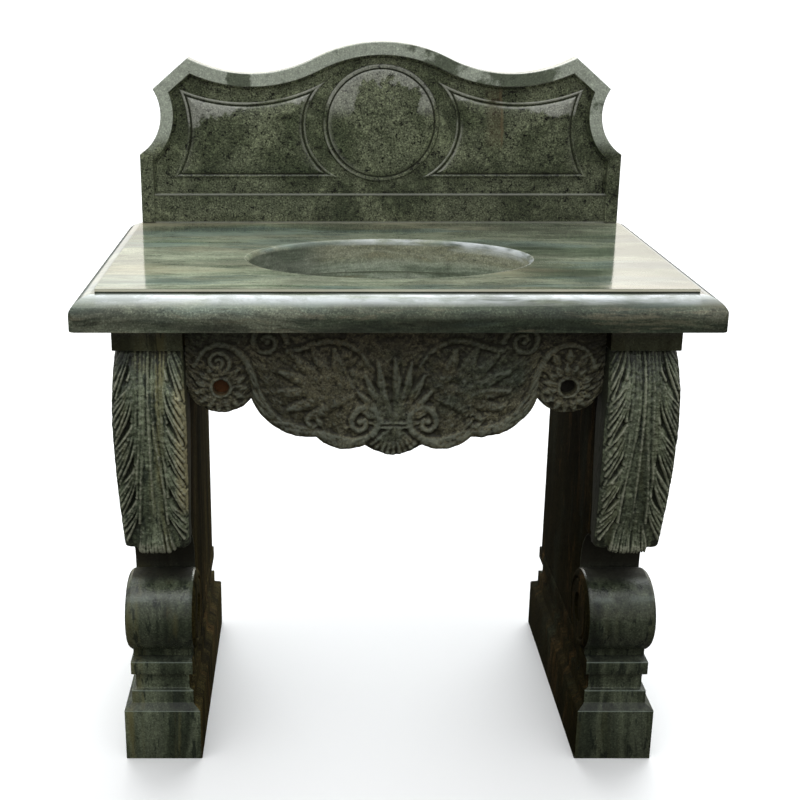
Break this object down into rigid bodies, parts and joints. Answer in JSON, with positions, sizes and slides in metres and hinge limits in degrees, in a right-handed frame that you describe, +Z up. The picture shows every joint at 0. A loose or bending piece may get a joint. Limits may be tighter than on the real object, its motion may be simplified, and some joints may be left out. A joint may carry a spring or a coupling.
{
  "type": "vanity sink",
  "caption": "Carved green stone vanity sink: polished top with oval bowl, shaped backsplash with medallion, leaf console legs, carved apron and lifting waste plug.",
  "frame": {"origin": "on the floor, under the middle of the top slab", "axes": "+X to the right seen from the front, +Y towards the wall, +Z up"},
  "size_m": [1.02, 0.6, 1.2],
  "materials": {
    "slab_stone": "polished",
    "bowl_stone": "honed",
    "backsplash_stone": "semi-polished",
    "apron_stone": "carved, dull",
    "leg_stone": "carved, part polished",
    "steel": "brushed",
    "chrome": "polished",
    "brass": "machined",
    "rubber": "moulded",
    "nylon": "moulded",
    "sealant": "cured"
  },
  "bodies": {
    "sink": {"top_slab": "slab_stone", "basin_bowl": "bowl_stone", "backsplash": "backsplash_stone", "apron": "apron_stone", "left_console": "leg_stone", "right_console": "leg_stone", "left_cap": "leg_stone", "right_cap": "leg_stone", "left_base": "leg_stone", "right_base": "leg_stone", "slab_dowels": "steel", "console_dowels": "steel", "base_dowels": "steel", "backsplash_dowels": "steel", "apron_dowels": "steel", "bowl_clips": "steel", "bowl_clip_bolts": "steel", "apron_brackets": "steel", "apron_bracket_screws": "steel", "bowl_sealant": "sealant", "backsplash_sealant": "sealant", "waste_body": "chrome", "tailpiece": "chrome", "flange_seal": "rubber", "lower_gasket": "rubber", "friction_washer": "nylon", "back_nut": "brass", "plug_guide": "brass"},
    "plug": {"plug_cap": "chrome", "plug_seal": "rubber", "plug_stem": "chrome", "plug_stop": "brass"}
  },
  "joints": [
    {"name": "plug_lift", "type": "slide", "parent": "sink", "child": "plug", "axis": [0, 0, 1], "range_m": [0, 0.01]}
  ]
}
